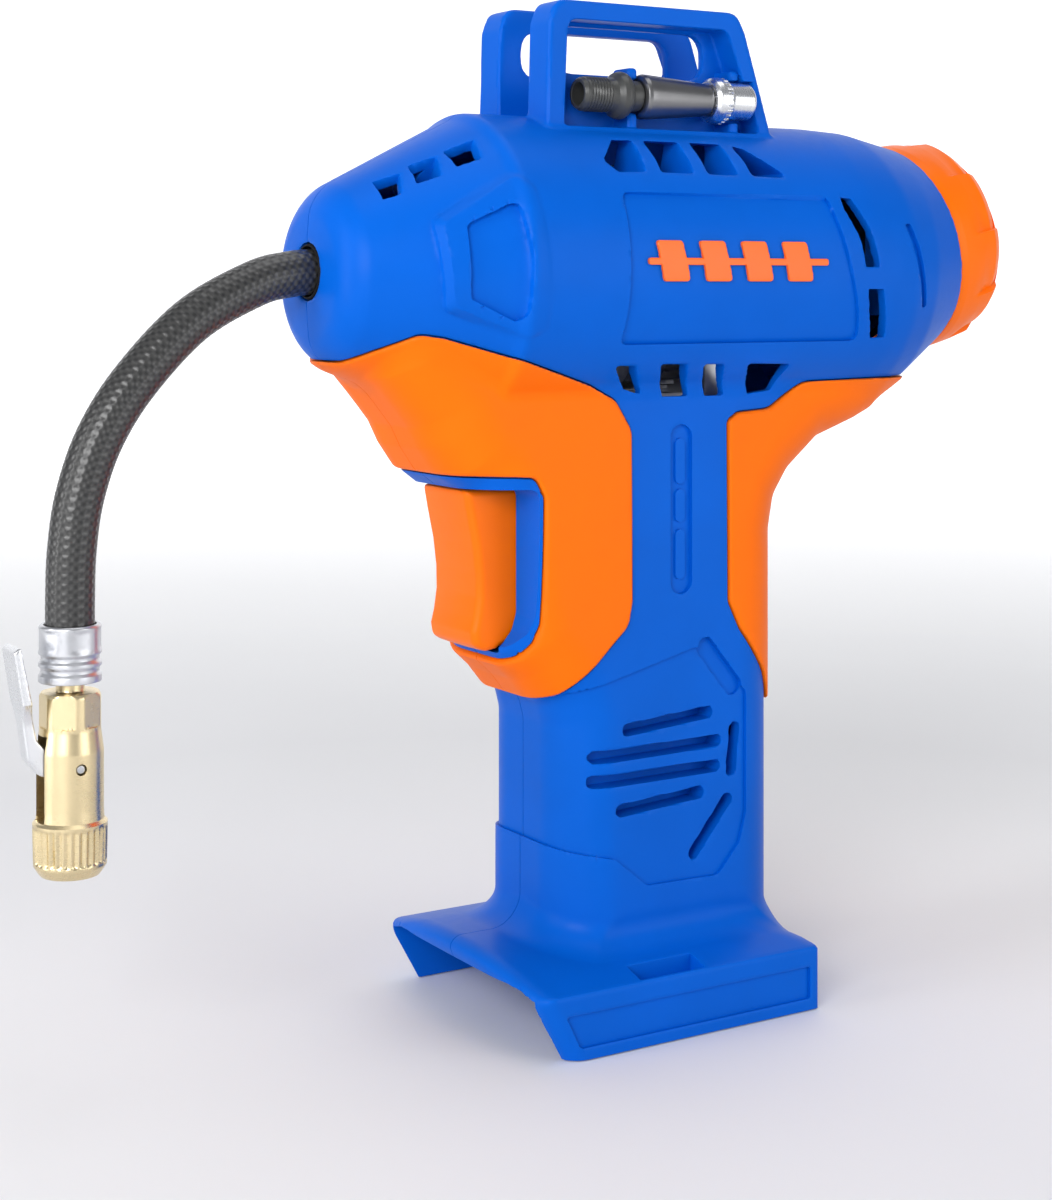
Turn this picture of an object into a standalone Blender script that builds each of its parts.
"""Cordless tyre inflator, pistol form, bare tool without its battery pack.

Every length is in millimetres and is turned into metres when a mesh is made.
Frame: +X forward (hose end), +Y the tool's left side, +Z up. X = 0 on the handle's centreline,
Y = 0 on the parting plane of the two housing halves, Z = 0 at the bottom of the foot.
A side of 1 means the left half (+Y) and -1 the right half.
"""
import math

import bmesh
import bpy
from mathutils import Vector

MM = 0.001
GAP = 0.3                      # running and assembly gap between neighbouring pieces
X_AXIS, Y_AXIS, Z_AXIS = (1, 0, 0), (0, 1, 0), (0, 0, 1)
REARWARD = (-1, 0, 0)
SIDES = (("left", 1), ("right", -1))

MOTOR_Z, CRANK_Z = 175.0, 159.0
CYLINDER_X = 10.0
PORT_Z = 195.3                 # both air ports of the cylinder head
HOSE_EXIT_Z = 174.6            # hole in the nose

for old in list(bpy.data.objects):
    bpy.data.objects.remove(old, do_unlink=True)


# ---------------------------------------------------------------- materials
def make_material(name, rgb, roughness, metallic=0.0, alpha=1.0):
    material = bpy.data.materials.new(name)
    material.use_nodes = True
    shader = material.node_tree.nodes["Principled BSDF"]
    shader.inputs["Base Color"].default_value = (*rgb, 1)
    shader.inputs["Roughness"].default_value = roughness
    shader.inputs["Metallic"].default_value = metallic
    shader.inputs["Alpha"].default_value = alpha
    return material


def make_metal(name, rgb, roughness):
    return make_material(name, rgb, roughness, metallic=1.0)


BLUE = make_material("blue_plastic", rgb=(0.0, 0.12, 0.62), roughness=0.45)
ORANGE = make_material("orange_rubber", rgb=(1.0, 0.17, 0.0), roughness=0.5)
BLACK = make_material("black_plastic", rgb=(0.02, 0.02, 0.02), roughness=0.5)
RUBBER = make_material("rubber", rgb=(0.03, 0.03, 0.03), roughness=0.8)
STEEL = make_metal("steel", rgb=(0.6, 0.6, 0.62), roughness=0.3)
ZINC = make_metal("zinc", rgb=(0.7, 0.7, 0.72), roughness=0.4)
ALUMINIUM = make_metal("aluminium", rgb=(0.75, 0.76, 0.78), roughness=0.4)
BRASS = make_metal("brass", rgb=(0.75, 0.55, 0.2), roughness=0.3)
COPPER = make_metal("copper", rgb=(0.8, 0.35, 0.2), roughness=0.4)
WHITE = make_material("white_plastic", rgb=(0.85, 0.85, 0.82), roughness=0.5)
RED = make_material("red_insulation", rgb=(0.6, 0.02, 0.02), roughness=0.5)
GLASS = make_material("clear_lens", rgb=(0.9, 0.95, 1.0), roughness=0.05, alpha=0.3)


# ---------------------------------------------------------------- mesh makers
def finish(mesh, name, material, smooth=None):
    """Makes an object of a bmesh. smooth is the angle in degrees above which edges stay sharp."""
    bmesh.ops.recalc_face_normals(mesh, faces=mesh.faces)
    data = bpy.data.meshes.new(name)
    for vert in mesh.verts:
        vert.co *= MM
    mesh.to_mesh(data)
    mesh.free()
    data.materials.append(material)
    if smooth is not None:
        data.shade_smooth()
        data.set_sharp_from_angle(angle=math.radians(smooth))
    obj = bpy.data.objects.new(name, data)
    bpy.context.scene.collection.objects.link(obj)
    return obj


def add_skin(mesh, rings, looped=False):
    """Skins rings of equally many points. Ends are capped, or joined to each other if looped."""
    rows = [[mesh.verts.new(point) for point in ring] for ring in rings]
    count = len(rows[0])
    for row, following in zip(rows, rows[1:] + rows[:1] if looped else rows[1:]):
        for i in range(count):
            j = (i + 1) % count
            mesh.faces.new((row[i], row[j], following[j], following[i]))
    if not looped:
        mesh.faces.new(list(reversed(rows[0])))
        mesh.faces.new(rows[-1])


def loft(name, rings, material, smooth=None, looped=False):
    mesh = bmesh.new()
    add_skin(mesh, rings, looped)
    return finish(mesh, name, material, smooth)


def add_box(mesh, bounds, side=1):
    x0, x1, y0, y1, z0, z1 = bounds
    y0, y1 = sorted((side * y0, side * y1))
    add_skin(mesh, [[(x0, y0, z), (x1, y0, z), (x1, y1, z), (x0, y1, z)] for z in (z0, z1)])


def blocks(name, material, boxes=(), slabs=(), side=1):
    """One object of boxes (x0, x1, y0, y1, z0, z1) and slabs (outline in X and Z, y0, y1).

    A side of -1 mirrors them in Y.
    """
    mesh = bmesh.new()
    for bounds in boxes:
        add_box(mesh, bounds, side)
    for outline, y0, y1 in slabs:
        add_skin(mesh, [[(x, side * y, z) for x, z in outline] for y in (y0, y1)])
    return finish(mesh, name, material)


def box(name, bounds, material):
    return blocks(name, material, boxes=[bounds])


def basis(axis):
    """The unit axis and two unit directions square to it."""
    axis = Vector(axis).normalized()
    hint = Vector(Y_AXIS if abs(axis.y) < 0.9 else X_AXIS)
    first = (hint - hint.dot(axis) * axis).normalized()
    return axis, first, axis.cross(first)


def circle(centre, first, second, radius, count):
    angles = (2 * math.pi * i / count for i in range(count))
    return [centre + (first * math.cos(t) + second * math.sin(t)) * radius for t in angles]


def turned_rings(base, axis, profile, count):
    axis, first, second = basis(axis)
    base = Vector(base)
    return [circle(base + axis * height, first, second, radius, count)
            for height, radius in profile]


def turned(name, base, axis, profile, material, count=24, looped=False):
    """A turned solid; profile is a run of (height, radius) whose ends get capped."""
    rings = turned_rings(base, axis, profile, count)
    return loft(name, rings, material, smooth=40, looped=looped)


def ringed(name, base, axis, section, material, count=24):
    """A turned ring; section is a closed loop of (height, radius) clear of the axis."""
    return turned(name, base, axis, section, material, count, looped=True)


def cylinder(name, base, axis, radius, length, material, count):
    return turned(name, base, axis, [(0, radius), (length, radius)], material, count)


def smooth_path(points, steps):
    """Catmull-Rom points through the given ones."""
    points = [Vector(point) for point in points]
    points = [2 * points[0] - points[1]] + points + [2 * points[-1] - points[-2]]
    path = []
    for i in range(1, len(points) - 2):
        p0, p1, p2, p3 = points[i - 1:i + 3]
        for k in range(steps):
            t = k / steps
            path.append(0.5 * ((2 * p1) + (p2 - p0) * t
                               + (2 * p0 - 5 * p1 + 4 * p2 - p3) * t * t
                               + (3 * p1 - p0 - 3 * p2 + p3) * t ** 3))
    path.append(points[-2])
    return path


def path_rings(path, radius, count):
    """Circles along a path, each turned as little as possible from the one before."""
    start = (path[1] - path[0]).normalized()
    first = Vector(Y_AXIS if abs(start.y) < 0.8 else Z_AXIS)
    rings = []
    for i, point in enumerate(path):
        tangent = (path[min(i + 1, len(path) - 1)] - path[max(i - 1, 0)]).normalized()
        first = (first - first.dot(tangent) * tangent).normalized()
        rings.append(circle(point, first, tangent.cross(first), radius, count))
    return rings


def rod(name, path, radius, material, count):
    return loft(name, path_rings(path, radius, count), material, smooth=50)


def pipe(name, path, radius, bore_radius, material, count):
    rings = path_rings(path, radius, count) + path_rings(path, bore_radius, count)[::-1]
    return loft(name, rings, material, smooth=50, looped=True)


def boolean(obj, other, operation, overlapping=False):
    """Adds a live boolean; the other object becomes a hidden helper."""
    other.hide_render = True
    other.display_type = "WIRE"
    modifier = obj.modifiers.new(other.name, "BOOLEAN")
    modifier.operation = operation
    modifier.use_self = overlapping
    modifier.solver = "EXACT"
    modifier.object = other


def join(obj, other):
    boolean(obj, other, "UNION")


def cut(obj, other, overlapping=False):
    boolean(obj, other, "DIFFERENCE", overlapping)


def keep_inside(obj, other):
    boolean(obj, other, "INTERSECT")


def rounded_rect(x0, x1, half_width, radius):
    """Points in X and Y, each corner in three steps, starting at the front left one."""
    corners = ((x1 - radius, half_width - radius, 0), (x0 + radius, half_width - radius, 90),
               (x0 + radius, -half_width + radius, 180), (x1 - radius, -half_width + radius, 270))
    points = []
    for x, y, start in corners:
        for k in range(4):
            angle = math.radians(start + 90 * k / 3)
            points.append((x + radius * math.cos(angle), y + radius * math.sin(angle)))
    return points


def obround(x0, x1, z0, z1):
    """Outline in X and Z of a slot with round ends."""
    radius, middle = (z1 - z0) / 2, (z0 + z1) / 2
    points = []
    for x, start in ((x1 - radius, -90), (x0 + radius, 90)):
        for k in range(7):
            angle = math.radians(start + 180 * k / 6)
            points.append((x + radius * math.cos(angle), middle + radius * math.sin(angle)))
    return points


def interpolate(table, x):
    """Value at x, which lies within the table."""
    for (x0, y0), (x1, y1) in zip(table, table[1:]):
        if x <= x1:
            return y0 + (y1 - y0) * (x - x0) / (x1 - x0)


def widen(outline, distance):
    """Moves each edge of a closed outline outwards."""
    area = sum(a[0] * b[1] - b[0] * a[1] for a, b in zip(outline, outline[1:] + outline[:1]))
    turn = 1 if area > 0 else -1
    count = len(outline)
    points = []
    for i in range(count):
        before, here, after = (Vector(outline[(i + k - 1) % count]) for k in range(3))
        edge_in, edge_out = (here - before).normalized(), (after - here).normalized()
        normal_in = Vector((edge_in.y, -edge_in.x)) * turn
        normal_out = Vector((edge_out.y, -edge_out.x)) * turn
        miter = normal_in + normal_out
        miter = miter / max(miter.dot(miter) / 2, 0.5)
        points.append((here.x + miter.x * distance, here.y + miter.y * distance))
    return points


# ---------------------------------------------------------------- shape of the body
WALL = 2.6                     # moulded wall of the barrel
# barrel: (X, Z) of its top and bottom line; each section is a circle
BARREL_TOP = [
    (-95, 204.6), (-89, 205.8), (-80.2, 207.3), (-72.1, 208.9), (-62.3, 210.9), (-51, 211.5),
    (47.7, 211.5), (49.2, 209.9), (81.5, 193.9), (84.5, 190.9), (86, 187.7)]
BARREL_BOTTOM = [
    (-95, 158.0), (-89.3, 154.3), (-82, 149.5), (-72, 143.0), (-64, 140.3), (-58, 139.7),
    (47.7, 139.7), (49.2, 141.2), (81.5, 153.5), (84.5, 156.5), (86, 159.7)]
BARREL_REAR, BARREL_FRONT = BARREL_TOP[0][0], BARREL_TOP[-1][0]
BARREL_SIDES = 32
HOLLOW_FRONT = 81.5
RIM_TILT = math.radians(11.6)  # the rear rim and the gauge lean back by this
RIM_CENTRE = Vector((-83.9, 0, 180.7))
GAUGE_AXIS = Vector((-math.cos(RIM_TILT), 0, math.sin(RIM_TILT)))

# handle: (Z, front X, rear X, half width, corner radius)
HANDLE = [
    (18, 46, -37, 27, 14), (22.5, 44, -37, 26, 15), (24.2, 37.5, -36, 24, 15.5),
    (27, 32, -34.6, 22.8, 15.5), (31, 30.2, -33.2, 22, 15.5), (69, 30, -33, 22, 15.5),
    (75, 32.5, -33, 22, 15.5), (81, 37.5, -33, 22, 15), (86, 41.5, -33, 22, 14),
    (88.4, 43, -33, 22, 14), (126.6, 43, -35.5, 22, 14), (127.2, 56, -36, 22, 14),
    (135, 61.3, -50, 22, 14), (140, 63.8, -65, 22, 14), (147, 69.5, -73, 22, 14),
    (155, 74.5, -73, 22, 13), (160, 75.5, -73, 22, 13)]
HANDLE_BOTTOM, GRIP_BOTTOM = 18, 69

# foot: same columns as the handle
FOOT = [
    (0, 39.6, -30.4, 35.9, 3), (1, 40.4, -31, 36.5, 3), (16, 50.4, -31, 36.5, 3.5),
    (19.5, 53.5, -30, 35.5, 5), (22, 56, -28, 31, 9), (24, 54.8, -27, 27, 12)]
FOOT_BOW = 8                   # how far the front edge bows forward at its middle

# holder on top of the barrel: outlines in X and Z
HOLDER = [
    (32.5, 203), (31.6, 232.5), (30.2, 235.6), (27.4, 237.3), (24, 237.8), (-18.2, 237.8),
    (-21.4, 236.9), (-23.9, 234.8), (-35.2, 203)]
HOLDER_POCKET = [
    (27.6, 208.6), (26.2, 232), (24.5, 234.2), (-18.6, 234.2), (-21.4, 232.6), (-30.6, 208.6)]
HOLDER_WINDOW = obround(-16.6, 25.2, 222, 232)

# soft grips: outlines in X and Z
FRONT_GRIP = [
    (92, 154.6), (81, 154.4), (76.5, 157.0), (69, 160.6), (64, 159.8), (48, 155), (25.7, 148.4),
    (17.9, 144.9), (13.4, 137.8), (13.1, 98.2), (14.2, 92.5), (21.2, 86.1), (30.5, 77.2),
    (36, 74.4), (60, 74.4), (60, 86.4), (46, 86.4), (39.8, 88.6), (36.7, 94.0), (36.7, 122.0),
    (38.0, 126.6), (42.2, 128.4), (92, 128.8)]
REAR_GRIP = [
    (-14.8, 139.1), (-17.8, 141.0), (-27, 141.6), (-36.8, 147.9), (-58.5, 148.3), (-90, 148.3),
    (-90, 110), (-40, 70), (-31, 70), (-27.5, 77.5), (-18.4, 89.2), (-15.1, 95.9)]
GRIP_DEPTH, GRIP_PROUD = 1.3, 1.0          # below and above the handle's skin
GRIP_SEAT_PROUD = 4.0

# vents and slots: outlines in X and Z
BOTTOM_VENTS = [
    [(21.7, 153.1), (15.8, 153.0), (10.1, 145.8), (15.9, 147.5)],
    [(9.0, 153.3), (1.4, 153.1), (-3.2, 145.3), (4.3, 145.4)],
    [(-3.4, 153.0), (-9.4, 152.9), (-13.6, 145.2), (-8.0, 145.2)],
    [(-16.4, 152.9), (-29.4, 152.6), (-27.4, 146.2), (-20.6, 145.4)]]
TOP_VENTS = [
    [(17.4, 205.2), (11.6, 205.3), (13.2, 197.6), (20.8, 197.4), (23.6, 200.2)],
    [(8.6, 205.3), (-1.4, 205.3), (-0.4, 197.5), (8.9, 197.6)],
    [(-4.6, 205.3), (-13.6, 205.2), (-13.2, 197.4), (-4.4, 197.5)],
    [(-16.6, 205.1), (-19.6, 204.2), (-28.2, 197.2), (-17.4, 197.4)]]
NOSE_VENTS = [
    [(74.7, 194.6), (70.2, 195.6), (71.0, 190.8), (75.4, 189.9)],
    [(65.8, 199.2), (61.4, 200.0), (62.5, 194.6), (66.9, 193.7)],
    [(57.2, 202.7), (52.6, 203.5), (53.6, 199.1), (58.1, 198.0)]]
REAR_SLOTS = [
    [(-41.9, 193.1), (-46.9, 184.8), (-49.0, 176.4), (-46.3, 176.4), (-44.5, 183.6), (-41.6, 190)],
    [(-49.4, 173.6), (-51.0, 167.9), (-53.2, 158.8), (-49.6, 159.0), (-47.9, 167.9),
     (-46.7, 173.6)]]
HANDLE_SLOTS = [
    [(14.5, 66.6), (-10.5, 68.4), (-10.5, 71.2), (14.5, 69.4)],
    [(22.9, 60.8), (-13.3, 61.4), (-13.3, 64.1), (22.9, 63.5)],
    [(23.2, 55.1), (-12.9, 55.4), (-12.9, 58.1), (23.2, 57.8)],
    [(16.5, 48.0), (-8.2, 49.6), (-8.2, 52.3), (16.5, 50.7)],
    [(-16.1, 66.5), (-15.1, 54.6), (-17.6, 54.0), (-18.8, 66.0)],
    [(-3.9, 36.6), (-14.3, 49.5), (-16.4, 48.0), (-6.6, 35.2)]]
# (outlines, inner Y, outer Y)
VENT_CUTS = [(BOTTOM_VENTS + TOP_VENTS, 12, 40), (NOSE_VENTS, 8, 30), (REAR_SLOTS, 24, 40),
             (HANDLE_SLOTS, 15, 25)]
LABEL_RECESS = [(22.3, 192.4), (-36.5, 192.6), (-41.3, 188.4), (-47.2, 167.9), (-49.0, 161.0),
                (-46.5, 158.6), (22.5, 158.2)]
LABEL_DEPTH = 0.8

# boxes: (x0, x1, y0, y1, z0, z1)
CAVITY_BOXES = [(24, 35.5, -17.8, 17.8, 88, 150), (30, 48, -17.7, 17.7, 131, 150),
                (-50, -27, -17.7, 17.7, 139, 150)]
HANDLE_CUTS = [
    (-27.5, 90, -33, 33, -2, 15.4),           # battery bay
    (-28, 40.5, 35.6, 40, 2.8, 10.0),         # recessed band on the foot's side
    (2.3, 20.7, 32, 40, 15.9, 19.0),          # catch pocket
    (20, 62, -11.2, 11.2, 88.1, 126.0),       # trigger slot
    (38.3, 62, -30, 30, 87.3, 125.6)]         # full-width clearance in front of the slot
WIRE_HOLE = (-13.5, -4.5, 4.5, 11.5, 14, 24)

# screws: (X, Z)
SCREWS = [(60.0, 194.4), (40.0, 205.0), (-38.0, 204.6), (-62.0, 149.0), (40.0, 147.5),
          (-24.5, 131.0), (4.0, 80.0), (21.5, 42.0)]
BOSS_RADIUS, SCREW_RADIUS = 4.0, 1.5
SCREW_HOLE_RADIUS = SCREW_RADIUS + 0.35
SCREW_HEAD_Y = -9.0
COUNTERBORE_RADIUS, COUNTERBORE_Y = 3.25, -7.1
RIB_XS, RIB_THICKNESS = (-62, -28), 1.6    # ribs beside the motor


def barrel_rings(inset, x_front=BARREL_FRONT, x_rear=BARREL_REAR):
    stations = {x for x, _ in BARREL_TOP + BARREL_BOTTOM} | {x_front, x_rear}
    rings = []
    for x in sorted(stations):
        if x_rear <= x <= x_front:
            top, bottom = interpolate(BARREL_TOP, x), interpolate(BARREL_BOTTOM, x)
            radius, middle = (top - bottom) / 2 - inset, (top + bottom) / 2
            angles = [2 * math.pi * (k + 0.5) / BARREL_SIDES for k in range(BARREL_SIDES)]
            rings.append([(x, radius * math.cos(t), middle + radius * math.sin(t))
                          for t in angles])
    return rings


def handle_rings(inset, bottom=HANDLE_BOTTOM):
    return [[(x, y, z) for x, y in rounded_rect(rear + inset, front - inset, half_width - inset,
                                                radius - inset)]
            for z, front, rear, half_width, radius in HANDLE if z >= bottom]


def foot_rings():
    rings = []
    for z, front, rear, half_width, radius in FOOT:
        ring = rounded_rect(rear, front, half_width, radius)
        ring += [(front, (half_width - radius) * (k / 3 - 1)) for k in range(1, 6)]
        rings.append([(x + FOOT_BOW * (1 - (y / half_width) ** 2) if x > front - radius - 0.1
                       else x, y, z) for x, y in ring])
    return rings


# ---------------------------------------------------------------- housing and soft grips
def rim_cutter(name):
    """Block behind the leaning plane of the rear rim."""
    axis, first, second = basis(GAUGE_AXIS)
    half, depth = 70, 60
    near = [RIM_CENTRE + (first * a + second * b)
            for a, b in ((-half, -half), (half, -half), (half, half), (-half, half))]
    return loft(name, [near, [point + axis * depth for point in near]], BLACK)


def housing_hollow(name, side):
    """Space inside barrel and handle, less the screw bosses and motor ribs."""
    hollow = loft(name + "_d", barrel_rings(WALL, HOLLOW_FRONT), BLUE)
    core = [[(x, y, z) for x, y in rounded_rect(-28.8, 25.8, 17.8, 11.3)] for z in (21.5, 150)]
    join(hollow, loft(name + "_e", core, BLUE))
    for number, bounds in enumerate(CAVITY_BOXES, 1):
        join(hollow, box(f"{name}_f{number}", bounds, BLUE))
    posts = bmesh.new()
    for x, z in SCREWS:
        profile = [(0, BOSS_RADIUS), (120, BOSS_RADIUS)]
        add_skin(posts, turned_rings((x, -60, z), Y_AXIS, profile, 12))
    for x in RIB_XS:
        add_box(posts, (x, x + RIB_THICKNESS, 18.6, 40, 164, 186), side)
    cut(hollow, finish(posts, name + "_posts", BLUE))
    return hollow


def screw_holes(name, side):
    """Pilots in the left half, counterbored holes from outside in the right half."""
    if side > 0:
        profile = [(0, SCREW_HOLE_RADIUS), (8.0, SCREW_HOLE_RADIUS)]
    else:
        profile = [(-60, COUNTERBORE_RADIUS), (COUNTERBORE_Y, COUNTERBORE_RADIUS),
                   (COUNTERBORE_Y, SCREW_HOLE_RADIUS), (1, SCREW_HOLE_RADIUS)]
    holes = bmesh.new()
    for x, z in SCREWS:
        add_skin(holes, turned_rings((x, 0, z), Y_AXIS, profile, 12))
    return finish(holes, name + "_holes", BLUE)


def make_grip(name, side, outline, seat=False):
    """The band of the handle's skin inside an outline. A seat is bigger by the gap all round."""
    margin = GAP if seat else 0.0
    proud = GRIP_SEAT_PROUD if seat else GRIP_PROUD
    grip = loft(name, handle_rings(-proud, GRIP_BOTTOM), ORANGE, smooth=35)
    cut(grip, loft(name + "_in", handle_rings(GRIP_DEPTH + margin), ORANGE))
    slab = (widen(outline, margin), -1 if seat else GAP / 2, 60)
    keep_inside(grip, blocks(name + "_edge", ORANGE, slabs=[slab], side=side))
    if not seat:
        cut(grip, loft(name + "_clear", barrel_rings(-GAP), ORANGE))
    return grip


def make_housing(name, side):
    def cutter(suffix, boxes=(), slabs=()):
        return blocks(name + suffix, BLACK, boxes, slabs, side)

    # barrel, handle, foot and top holder
    body = loft(name, barrel_rings(0), BLUE, smooth=35)
    join(body, loft(name + "_a", handle_rings(0), BLUE))
    join(body, loft(name + "_b", foot_rings(), BLUE))
    join(body, blocks(name + "_c", BLUE, slabs=[(HOLDER, 6.5, 15.8)], side=side))
    cut(body, rim_cutter(name + "_rim"))
    cut(body, housing_hollow(name, side))
    # only this side of the parting plane stays
    half_space = (-120, 100, GAP / 2, 60, -5, 245)
    keep_inside(body, blocks(name + "_half", BLUE, boxes=[half_space], side=side))
    cut(body, cutter("_g", boxes=HANDLE_CUTS), overlapping=True)
    cut(body, cylinder(name + "_h", (70, 0, HOSE_EXIT_Z), X_AXIS, 6.6, 30, BLUE, 16))
    cut(body, screw_holes(name, side))
    cut(body, cutter("_w", boxes=[WIRE_HOLE]))
    cut(body, cutter("_i", slabs=[(HOLDER_POCKET, 8.8, 17), (HOLDER_WINDOW, 3, 12)]),
        overlapping=True)
    vents = [(outline, inner, outer) for outlines, inner, outer in VENT_CUTS
             for outline in outlines]
    cut(body, cutter("_j", slabs=vents), overlapping=True)
    # shallow label recess that follows the barrel's curve
    recess = cutter("_p", slabs=[(LABEL_RECESS, 20, 45)])
    cut(recess, loft(name + "_q", barrel_rings(LABEL_DEPTH, 60, -80), BLUE))
    cut(body, recess)
    cut(body, make_grip(name + "_k", side, FRONT_GRIP, seat=True))
    cut(body, make_grip(name + "_l", side, REAR_GRIP, seat=True))


for tag, side in SIDES:
    make_housing("housing_" + tag, side)
    make_grip("grip_front_" + tag, side, FRONT_GRIP)
    make_grip("grip_rear_" + tag, side, REAR_GRIP)

# screws: driven from the right into bosses of the left half
for number, (x, z) in enumerate(SCREWS, 1):
    turned(f"screw_{number}", (x, SCREW_HEAD_Y, z), Y_AXIS,
           [(0, 2.9), (1.6, 2.9), (2.0, SCREW_RADIUS), (14.5, SCREW_RADIUS), (15.5, 0.5)],
           STEEL, 8)

# ---------------------------------------------------------------- gauge at the rear
# heights run rearward from the rim's centre
NEEDLE_REST = 45.0             # degrees; lower left of the dial as the user sees it
# needle blade: (distance from the spindle, offset across)
NEEDLE_BLADE = [(15.5, 0.3), (2.2, 1.0), (-5.0, 1.3), (-5.0, -1.3), (2.2, -1.0), (15.5, -0.3)]
BOURDON_RADIUS, BOURDON_HEIGHT = 13.5, 1.5
gauge_axis, gauge_first, gauge_second = basis(GAUGE_AXIS)


def gauge_direction(degrees):
    angle = math.radians(degrees)
    return gauge_first * math.cos(angle) + gauge_second * math.sin(angle)


def make_needle():
    """Pointer blade, hub and spindle as one piece."""
    along = gauge_direction(NEEDLE_REST)
    across = gauge_axis.cross(along)
    blade = [[RIM_CENTRE + gauge_axis * height + along * reach + across * offset
              for reach, offset in NEEDLE_BLADE] for height in (9.4, 10.0)]
    needle = loft("gauge_needle", blade, RED)
    hub = [(4.6, 1.1), (8.9, 1.1), (8.9, 2.6), (10.8, 2.6), (11.2, 1.6)]
    join(needle, turned("gauge_needle_hub", RIM_CENTRE, GAUGE_AXIS, hub, RED, 16))


ringed("gauge_bezel", RIM_CENTRE, GAUGE_AXIS,
       [(0.4, 27.0), (3, 27.2), (9, 26.9), (13.4, 26.3), (15.6, 25.0), (16.8, 23.0), (16.8, 21.0),
        (14.4, 20.6), (14.0, 22.2), (0.4, 22.4)], ORANGE, 30)
turned("gauge_lens", RIM_CENTRE, GAUGE_AXIS, [(12.0, 21.9), (13.2, 21.9), (13.7, 20.0)],
       GLASS, 32)
ringed("gauge_dial", RIM_CENTRE, GAUGE_AXIS, [(7.3, 21.6), (8.1, 21.6), (8.1, 1.7), (7.3, 1.7)],
       WHITE, 32)
# cup, open to the rear
turned("gauge_case", RIM_CENTRE, GAUGE_AXIS, [(-4, 20.8), (6.9, 20.8), (6.9, 19.4), (-2.5, 19.4)],
       BLACK, 28)
make_needle()
rod("bourdon_tube", [RIM_CENTRE + gauge_axis * BOURDON_HEIGHT
                     + gauge_direction(60 + 10 * k) * BOURDON_RADIUS for k in range(27)],
    1.6, BRASS, 8)

# ---------------------------------------------------------------- motor and drive
CAN_X = -70                    # open rear end of the can
GEAR_TEETH, PINION_TEETH = 28, 8
MODULE = 2 * (MOTOR_Z - CRANK_Z) / (GEAR_TEETH + PINION_TEETH)
GEAR_PITCH, PINION_PITCH = 0.5 * GEAR_TEETH * MODULE, 0.5 * PINION_TEETH * MODULE
ADDENDUM = 0.6
THROW = 5.0
CRANK_PIN_Z = CRANK_Z + THROW  # crank at the top of its turn
BRACKET_X = -16.4              # rear face of the gear bracket's plate
BEARING_X = -16.2
MAGNET_OUTER, MAGNET_INNER = 16.1, 14.0


def make_can():
    """Cup closed at the front, open at the rear."""
    can = turned("motor_can", (CAN_X, 0, MOTOR_Z), X_AXIS, [(0, 18.2), (51.5, 18.2), (53, 16.8)],
                 STEEL, 28)
    cut(can, cylinder("motor_can_in", (CAN_X - 2, 0, MOTOR_Z), X_AXIS, 16.4, 53, STEEL, 28))
    cut(can, cylinder("motor_can_hole", (-25, 0, MOTOR_Z), X_AXIS, 2.6, 20, STEEL, 16))


def magnet_ring(x, side):
    ring = []
    for radius, steps in ((MAGNET_OUTER, range(-4, 5)), (MAGNET_INNER, range(4, -5, -1))):
        for k in steps:
            angle = math.radians(14 * k)
            ring.append((x, side * radius * math.cos(angle), MOTOR_Z + radius * math.sin(angle)))
    return ring


def gear_ring(x, centre_z, teeth, root, tip, phase=0.0):
    ring = []
    for k in range(teeth):
        for fraction, radius in ((-0.29, root), (-0.12, tip), (0.12, tip), (0.29, root)):
            angle = phase + (k + fraction) * 2 * math.pi / teeth
            ring.append((x, radius * math.sin(angle), centre_z + radius * math.cos(angle)))
    return ring


def make_pinion():
    """Half a tooth of phase turns a gap down onto the gear's top tooth."""
    rings = [gear_ring(x, MOTOR_Z, PINION_TEETH, PINION_PITCH - 0.95, PINION_PITCH + ADDENDUM,
                       math.pi / PINION_TEETH) for x in (-10.6, -4.9)]
    pinion = loft("pinion", rings, BRASS)
    cut(pinion, cylinder("pinion_bore", (-14, 0, MOTOR_Z), X_AXIS, 1.75, 14, BRASS, 20))


def make_crank_gear():
    """Gear, shaft, crank disc and crank pin as one piece."""
    rings = [gear_ring(x, CRANK_Z, GEAR_TEETH, GEAR_PITCH - 1.0, GEAR_PITCH + ADDENDUM)
             for x in (-10.4, -5.0)]
    gear = loft("crank_gear", rings, STEEL)
    shaft = [(0, 2.5), (5, 2.5), (5, 5), (11.6, 5), (11.6, 12.9), (21.7, 12.9)]
    join(gear, turned("crank_gear_a", (BEARING_X, 0, CRANK_Z), X_AXIS, shaft, STEEL, 20))
    join(gear, cylinder("crank_gear_b", (4.5, 0, CRANK_PIN_Z), X_AXIS, 2.0, 2.7, STEEL, 14))


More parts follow.
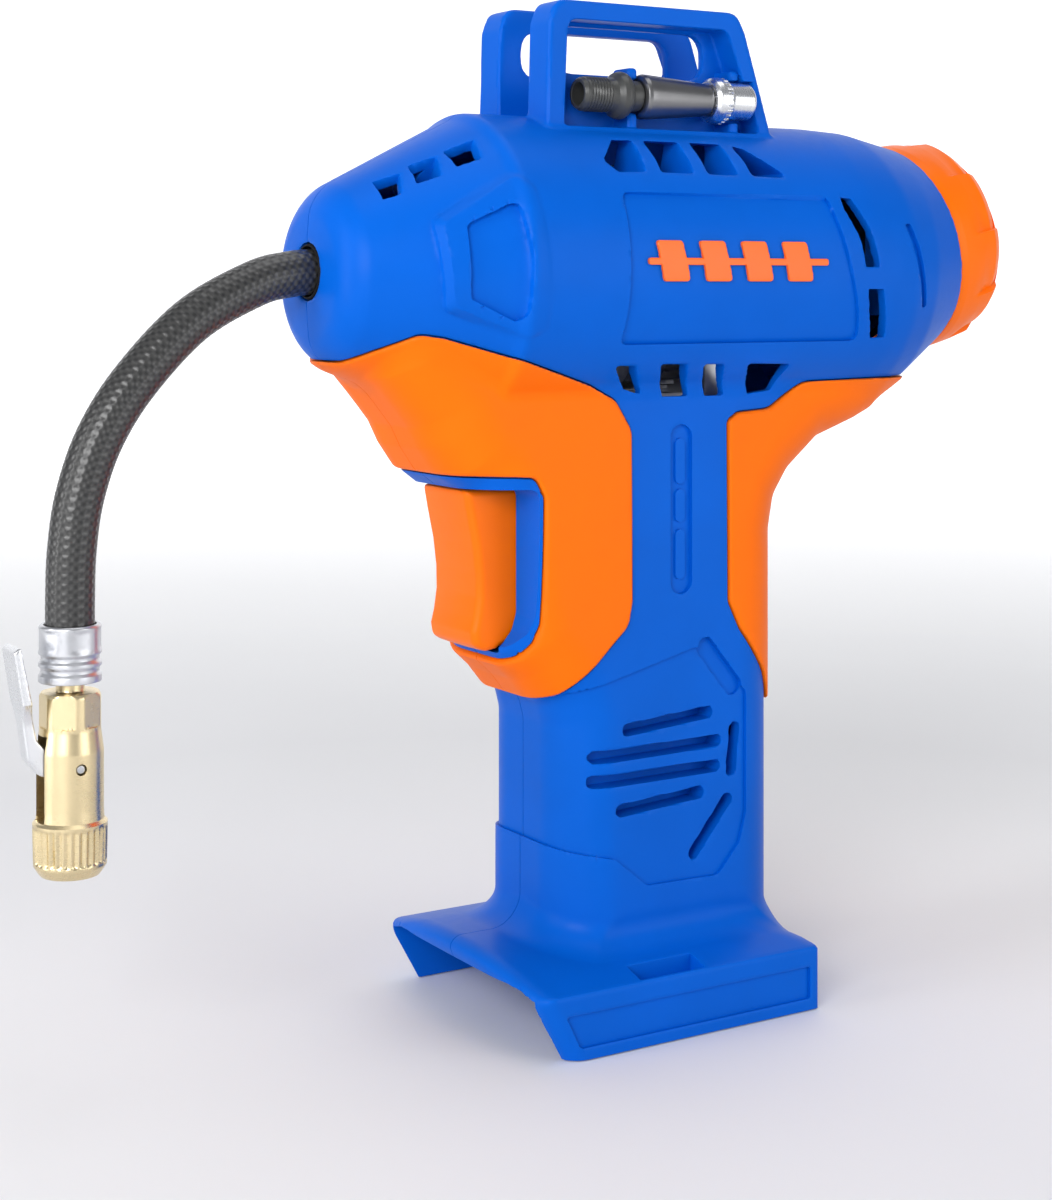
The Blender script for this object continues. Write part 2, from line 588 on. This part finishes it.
def make_bracket():
    """Upright plate with a shelf for the cylinder and a lip at its bottom."""
    name = "gear_bracket"
    bracket = box(name, (BRACKET_X, -11.6, -17, 17, 143.6, 193.0), ALUMINIUM)
    shelf = (BRACKET_X, 26.5, -15.4, 15.4, 177.2, 180.2)
    join(bracket, box(name + "_a", shelf, ALUMINIUM))
    join(bracket, box(name + "_b", (BRACKET_X, 9.0, -8, 8, 143.6, 145.3), ALUMINIUM))
    # holes for motor, crank bearing and cylinder
    cut(bracket, cylinder(name + "_c", (-18, 0, MOTOR_Z), X_AXIS, 4.8, 8, ALUMINIUM, 16))
    cut(bracket, cylinder(name + "_d", (-18, 0, CRANK_Z), X_AXIS, 4.7, 8, ALUMINIUM, 20))
    cut(bracket, cylinder(name + "_e", (CYLINDER_X, 0, 170), Z_AXIS, 12.5, 20, ALUMINIUM, 28))
    # pinion clearance in the shelf, notch in the lip
    cut(bracket, box(name + "_f", (-11.0, -3.0, -5.4, 5.4, 172, 182), ALUMINIUM))
    cut(bracket, box(name + "_g", (-2, 6, -2.5, 2.5, 142, 147), ALUMINIUM))


make_can()
ringed("motor_end_cap", (-76, 0, MOTOR_Z), X_AXIS,
       [(0, 15), (2, 18.0), (5.7, 18.0), (5.7, 16.0), (10, 16.0), (10, 13.6), (6, 13.6),
        (6, 2.2), (0, 2.2)], BLACK, 20)
turned("motor_rotor", (-72, 0, MOTOR_Z), X_AXIS,
       [(0, 1.6), (9, 1.6), (9, 5), (16, 5), (16, 4), (20, 4), (20, 13.2), (46, 13.2), (46, 4),
        (49, 1.6), (68, 1.6)], COPPER, 20)
for tag, side in SIDES:
    loft("motor_magnet_" + tag, [magnet_ring(x, side) for x in (-54, -26)], BLACK)
make_pinion()
make_crank_gear()
ringed("crank_bearing", (BEARING_X, 0, CRANK_Z), X_AXIS,
       [(0, 4.4), (4.6, 4.4), (4.6, 2.6), (0, 2.6)], BRASS, 20)
make_bracket()

# ---------------------------------------------------------------- pump
PISTON_TOP_Z = 188.5
CYLINDER_Z, HEAD_Z = 173.0, 191.2          # bottoms of the cylinder and of its head
GASKET_Z = 190.2


def make_cylinder():
    """Finned barrel of the pump."""
    fins = [(0, 12.1), (8.2, 12.1), (8.2, 13.6), (9.4, 13.6), (9.4, 12.1), (11.4, 12.1),
            (11.4, 13.6), (12.6, 13.6), (12.6, 12.1), (14.6, 12.1), (14.6, 13.6), (17, 13.6)]
    body = turned("cylinder", (CYLINDER_X, 0, CYLINDER_Z), Z_AXIS, fins, ALUMINIUM, 28)
    cut(body, cylinder("cylinder_bore", (CYLINDER_X, 0, 170), Z_AXIS, 9.2, 22, ALUMINIUM, 28))


def make_piston_rod():
    """Piston, rod and big end as one piece."""
    name = "piston_rod"
    crown = [(0, 8.2), (1.0, 8.2), (1.0, 7.2), (2.4, 7.2), (2.4, 8.5), (4.2, 8.5)]
    piston = turned(name, (CYLINDER_X, 0, PISTON_TOP_Z - 4.2), Z_AXIS, crown, WHITE, 24)
    shank = (CYLINDER_X - 2.0, CYLINDER_X + 2.0, -2.6, 2.6, 166, PISTON_TOP_Z - 4)
    join(piston, box(name + "_a", shank, WHITE))
    join(piston, cylinder(name + "_b", (CYLINDER_X - 2.3, 0, CRANK_PIN_Z), X_AXIS, 4.6, 4.6,
                          WHITE, 20))
    cut(piston, cylinder(name + "_c", (CYLINDER_X - 5, 0, CRANK_PIN_Z), X_AXIS, 2.2, 10,
                         WHITE, 14))


def make_head():
    """Cylinder head with the hose port in front and the gauge port behind."""
    name = "cylinder_head"
    head = turned(name, (CYLINDER_X, 0, HEAD_Z), Z_AXIS, [(0, 13.6), (7.4, 13.6), (8.6, 12.2)],
                  ALUMINIUM, 28)
    cut(head, cylinder(name + "_a", (CYLINDER_X, 0, 190), Z_AXIS, 9.6, 6.2, ALUMINIUM, 20))
    port = (CYLINDER_X, 0, PORT_Z)
    cut(head, cylinder(name + "_b", port, X_AXIS, 1.6, 20, ALUMINIUM, 12))
    cut(head, cylinder(name + "_c", port, REARWARD, 1.2, 20, ALUMINIUM, 12))


make_cylinder()
make_piston_rod()
ringed("piston_seal", (CYLINDER_X, 0, PISTON_TOP_Z - 3.1), Z_AXIS,
       [(0, 9.0), (1.1, 9.0), (1.1, 7.5), (0, 7.5)], RUBBER)
ringed("head_gasket", (CYLINDER_X, 0, GASKET_Z), Z_AXIS,
       [(0, 13.4), (0.7, 13.4), (0.7, 9.6), (0, 9.6)], RUBBER)
box("valve_reed", (CYLINDER_X - 8, CYLINDER_X + 8, -4, 4, HEAD_Z, HEAD_Z + 0.4), STEEL)
make_head()
ringed("outlet_fitting", (CYLINDER_X + 14.0, 0, PORT_Z), X_AXIS,
       [(0, 4.4), (3.2, 4.4), (3.2, 2.3), (4.4, 2.9), (6.6, 2.3), (7.6, 2.9), (10.5, 2.3),
        (10.5, 1.4), (0, 1.4)], BRASS, 14)

# ---------------------------------------------------------------- hose and gauge tube
HOSE_RADIUS, HOSE_BORE = 5.2, 3.2
HOSE = [
    (28, 0, PORT_Z), (38, 0, 195.1), (48, 0, 190.5), (60, 0, 183.0), (71, 0, 177.0),
    (81.3, 0, 174.9), (90, 0, 174.0), (98.7, 0, 171.8), (113.3, 0, 164.0), (126.3, 0, 151.1),
    (134.2, 0, 139.2), (138.6, 0, 127), (140.3, 0, 116), (140.7, 0, 106), (140.7, 0, 96)]
GAUGE_TUBE = [
    (CYLINDER_X - 14.2, 0, PORT_Z), (CYLINDER_X - 19, 2, 196.2), (-22, 8, 198),
    (-38, 9.5, 197.8), (-55, 9.5, 198), (-68, 6, 198.6), (-75.4, 3, 197.6)]

pipe("hose", smooth_path(HOSE, 2), HOSE_RADIUS, HOSE_BORE, RUBBER, 10)
ringed("hose_grommet", (82.6, 0, HOSE_EXIT_Z), X_AXIS,
       [(0, 6.3), (2.6, 6.3), (3.2, 6.1), (3.2, 5.7), (0, 5.7)], RUBBER, 16)
rod("gauge_tube", smooth_path(GAUGE_TUBE, 2), 1.5, BLACK, 6)

# ---------------------------------------------------------------- chuck at the hose's end
CHUCK_X = HOSE[-1][0]
PIVOT_Z = 71.0
# thumb lever: (X from the chuck's axis, Z)
LEVER = [
    (-2.6, 68.9), (2.6, 68.2), (7.2, 69.6), (9.9, 73.0), (11.4, 84), (13.4, 96), (12.0, 97.2),
    (9.7, 86), (7.9, 77.0), (5.5, 74.6), (0.5, 73.8), (-2.6, 73.0)]


def make_chuck_body():
    name = "chuck_body"
    profile = [(0, 6.6), (2, 7.6), (11, 7.8), (14, 7.0), (26, 7.0), (31, 6.4), (38.4, 6.4),
               (38.4, 3.0), (52, 2.4)]
    body = turned(name, (CHUCK_X, 0, 48), Z_AXIS, profile, BRASS, 20)
    # mouth, lever slot and pin hole
    cut(body, cylinder(name + "_a", (CHUCK_X, 0, 46), Z_AXIS, 5.4, 12, BRASS, 18))
    slot = (CHUCK_X - 3.6, CHUCK_X + 10, -2.6, 2.6, 59.6, 77.5)
    cut(body, box(name + "_b", slot, BRASS))
    cut(body, cylinder(name + "_c", (CHUCK_X, -12, PIVOT_Z), Y_AXIS, 1.25, 24, BRASS, 12))


def make_lever():
    outline = [(CHUCK_X + x, z) for x, z in LEVER]
    lever = blocks("chuck_lever", STEEL, slabs=[(outline, -2.3, 2.3)])
    cut(lever, cylinder("chuck_lever_a", (CHUCK_X, -12, PIVOT_Z), Y_AXIS, 1.2, 24, STEEL, 12))


# crimped ferrule
ringed("hose_ferrule", (CHUCK_X, 0, 88.5), Z_AXIS,
       [(0, 6.6), (1.5, 6.6), (2.2, 6.1), (3.6, 6.6), (4.4, 6.1), (6, 6.6), (12, 6.4),
        (12, 5.5), (0, 5.5)], BRASS, 18)
make_chuck_body()
rod("lever_pin", [Vector((CHUCK_X, y, PIVOT_Z)) for y in (-6.6, 6.6)], 1.1, STEEL, 12)
make_lever()
ringed("chuck_seal", (CHUCK_X, 0, 50.0), Z_AXIS, [(0, 5.0), (5, 5.0), (5, 4.0), (0, 4.0)],
       RUBBER, 18)

# ---------------------------------------------------------------- trigger, switch and wiring
# trigger: (Z, front X)
TRIGGER = [(89.2, 46.5), (90.6, 50.0), (94, 51.2), (99, 50.2), (106, 49.0), (114, 49.6),
           (122, 51.6), (125.2, 52.4), (125.6, 50.5)]
SWITCH_Z = 110                 # plunger's axis
SPRING_X, SPRING_Z, SPRING_LENGTH, SPRING_RADIUS = 21.0, 93.0, 8.7, 2.5
SPRING_STEPS, STEPS_PER_TURN = 40, 8
WIRE_RADIUS = 1.2
RED_WIRE = [(-8, 7, 17.6), (-9, 9, 26), (-12, 10, 45), (-10, 8, 75), (2, 4, 88), (6.5, 3, 95.5)]
BLACK_WIRE = [
    (-8, -7, 17.6), (-10, -9, 26), (-14, -10, 45), (-14, -9, 90), (-14, -9, 118),
    (-15.5, -9.5, 129), (-20.5, -11, 141), (-31, -11, 152.5), (-60, -11, 154.8),
    (-74, -10, 156.5), (-79.4, -8, 168)]


def make_trigger():
    rings = [[(x, y, z) for x, y in rounded_rect(30.2, front, 10.6, 7.5)] for z, front in TRIGGER]
    trigger = loft("trigger", rings, ORANGE, smooth=50)
    # rear corners cut away at bottom and top, then a wider flange behind the slot's edges
    cut(trigger, box("trigger_a", (22, 37.2, -30, 30, 80, 93.4), ORANGE))
    cut(trigger, box("trigger_b", (22, 37.2, -30, 30, 121.5, 130), ORANGE))
    join(trigger, box("trigger_c", (31.4, 35.0, -13.2, 13.2, 92.5, 122.5), ORANGE))


def make_switch():
    switch = box("switch_body", (3.0, 20.6, -8, 8, 96, 122), BLACK)
    join(switch, box("switch_body_a", (10, 20.6, -4, 4, 86.5, 97), BLACK))
    cut(switch, cylinder("switch_body_b", (8, 0, SWITCH_Z), X_AXIS, 3.0, 20, BLACK, 14))
    cylinder("switch_plunger", (14.4, 0, SWITCH_Z), X_AXIS, 2.6, 15.4, BLACK, 14)


def make_spring():
    coil = []
    for k in range(SPRING_STEPS + 1):
        angle = 2 * math.pi * k / STEPS_PER_TURN
        coil.append(Vector((SPRING_X + SPRING_LENGTH * k / SPRING_STEPS,
                            SPRING_RADIUS * math.cos(angle),
                            SPRING_Z + SPRING_RADIUS * math.sin(angle))))
    rod("trigger_spring", coil, 0.4, STEEL, 5)


make_trigger()
make_switch()
make_spring()
rod("wire_red", smooth_path(RED_WIRE, 3), WIRE_RADIUS, RED, 6)
rod("wire_black", smooth_path(BLACK_WIRE, 3), WIRE_RADIUS, BLACK, 6)

# ---------------------------------------------------------------- battery interface
TERMINAL = [(6.3, 5.0), (17.5, 5.0), (19.0, 6.0), (19.0, 10.6), (17.5, 11.6), (6.3, 11.6)]

terminal_block = box("terminal_block", (-24, 6, -15, 15, 0.0, 15.1), BLACK)
# sockets for the wire ends
cut(terminal_block, box("terminal_block_a", (-10, -6, 5.5, 8.5, 10, 17), BLACK))
cut(terminal_block, box("terminal_block_b", (-10, -6, -8.5, -5.5, 10, 17), BLACK))
for tag, y in (("positive", 9.0), ("data", 0.0), ("negative", -9.0)):
    blocks("terminal_" + tag, BRASS, slabs=[(TERMINAL, y - 0.4, y + 0.4)])

# ---------------------------------------------------------------- adaptors in the top holder
ADAPTOR_Y, ADAPTOR_Z = 14.3, 216.2

turned("nozzle_adapter", (21.6, ADAPTOR_Y, ADAPTOR_Z), REARWARD,
       [(0, 3.0), (0.8, 3.6), (9.4, 3.6), (9.8, 4.4), (11.2, 5.0), (12.6, 4.6), (13.4, 3.0),
        (16.6, 3.0), (17.0, 4.7), (18.4, 4.7), (36.4, 3.2), (36.4, 2.0)], BLACK, 18)
ringed("valve_adapter", (-15.2, ADAPTOR_Y, ADAPTOR_Z), REARWARD,
       [(0, 4.6), (1.4, 5.2), (3.6, 5.2), (4.4, 3.4), (10.4, 3.4), (10.4, 1.2), (0, 1.2)],
       ZINC, 18)
turned("ball_needle", (21.0, -ADAPTOR_Y, ADAPTOR_Z), REARWARD,
       [(0, 3.6), (7, 3.6), (7.6, 2.4), (9.6, 2.4), (10.2, 4.2), (12, 4.2), (13.0, 1.2),
        (46, 0.9), (47, 0.4)], STEEL, 14)

# ---------------------------------------------------------------- badges in the label recesses
BADGE_SPINE = (-34.5, 17.5, 35.4, 36.3, 176.2, 177.8)
BADGE_BAR_XS = (-30, -18, -6, 6)

# four slanted bars on one spine
for tag, side in SIDES:
    badge = blocks("badge_" + tag, ORANGE, boxes=[BADGE_SPINE], side=side)
    bars = [([(x, 172), (x + 7.5, 172), (x + 9.5, 182), (x + 2, 182)], 35.38, 36.4)
            for x in BADGE_BAR_XS]
    join(badge, blocks("badge_bars_" + tag, ORANGE, slabs=bars, side=side))
